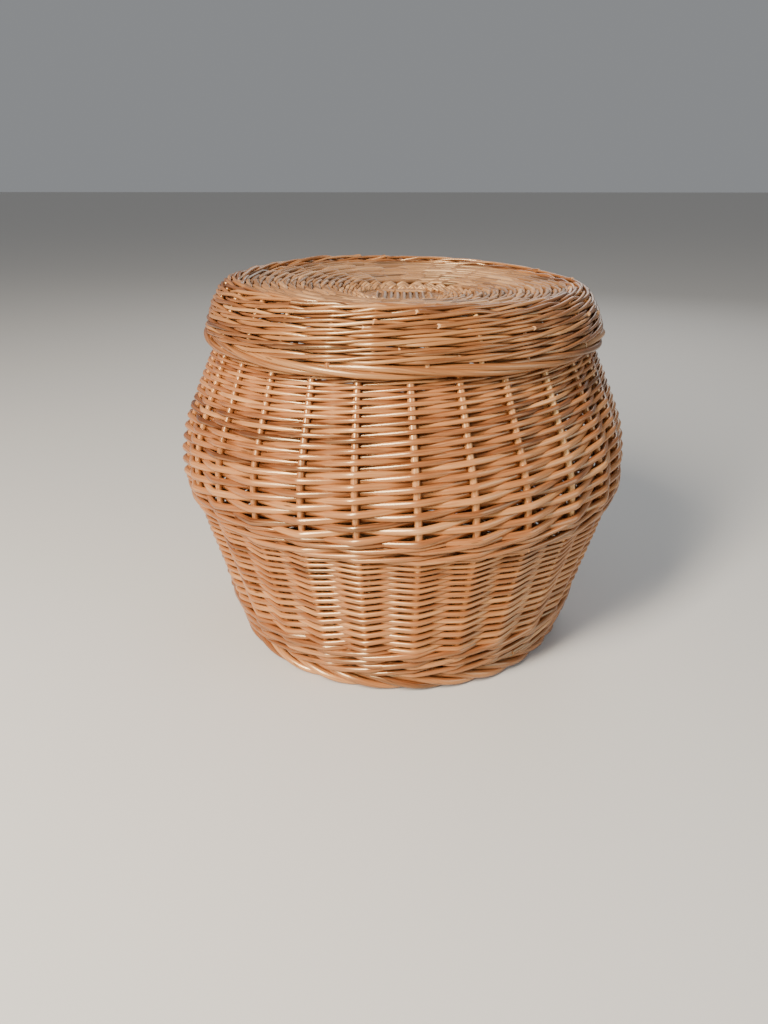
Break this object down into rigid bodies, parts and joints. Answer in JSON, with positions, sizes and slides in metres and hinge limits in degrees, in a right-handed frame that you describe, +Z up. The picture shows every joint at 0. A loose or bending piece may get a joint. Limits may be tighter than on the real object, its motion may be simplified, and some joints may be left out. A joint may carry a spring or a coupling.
{
  "type": "lidded wicker basket",
  "caption": "Round woven willow basket with a bulging side, a narrower mouth and foot, and a loose cap lid with a dished top.",
  "frame": {"origin": "on the floor at the centre of the foot border", "axes": "+Z up through the middle of the lid; the basket is round, and -Y is the side it is seen from"},
  "size_m": [0.5016, 0.5016, 0.4],
  "materials": {
    "willow_sticks": "satin, peeled thick willow sticks, slightly greyed",
    "willow_stakes": "satin varnish over peeled willow stakes, pale where the varnish has worn",
    "willow_weave_lower": "satin varnish over honey-brown woven willow rods",
    "willow_weave_upper": "satin varnish over honey-brown woven willow rods, a little greyer at the sides",
    "willow_wale": "satin varnish over reddish brown willow rods",
    "willow_border": "satin varnish over thick reddish brown willow rods",
    "willow_disc": "satin varnish over thin willow rods, greyer than the side",
    "willow_lid_wale": "glossier satin varnish over thin golden willow rods"
  },
  "bodies": {
    "basket": {"side_stakes": "willow_stakes", "upsett_wale": "willow_wale", "lower_randing": "willow_weave_lower", "waist_wale": "willow_wale", "upper_randing": "willow_weave_upper", "neck_wale": "willow_wale", "foot_border": "willow_border", "mouth_border": "willow_border", "base_pierced_sticks": "willow_sticks", "base_through_sticks": "willow_sticks", "base_binding": "willow_disc", "base_weave": "willow_disc"},
    "lid": {"lid_stakes": "willow_stakes", "lid_pierced_sticks": "willow_sticks", "lid_through_sticks": "willow_sticks", "lid_binding": "willow_disc", "lid_weave": "willow_disc", "lid_border": "willow_border", "lid_wall_wale": "willow_lid_wale", "lid_shoulder_wale": "willow_lid_wale"}
  },
  "joints": [
    {"name": "lid_lift", "type": "slide", "parent": "basket", "child": "lid", "axis": [0, 0, 1], "range_m": [0, 0.15]}
  ]
}
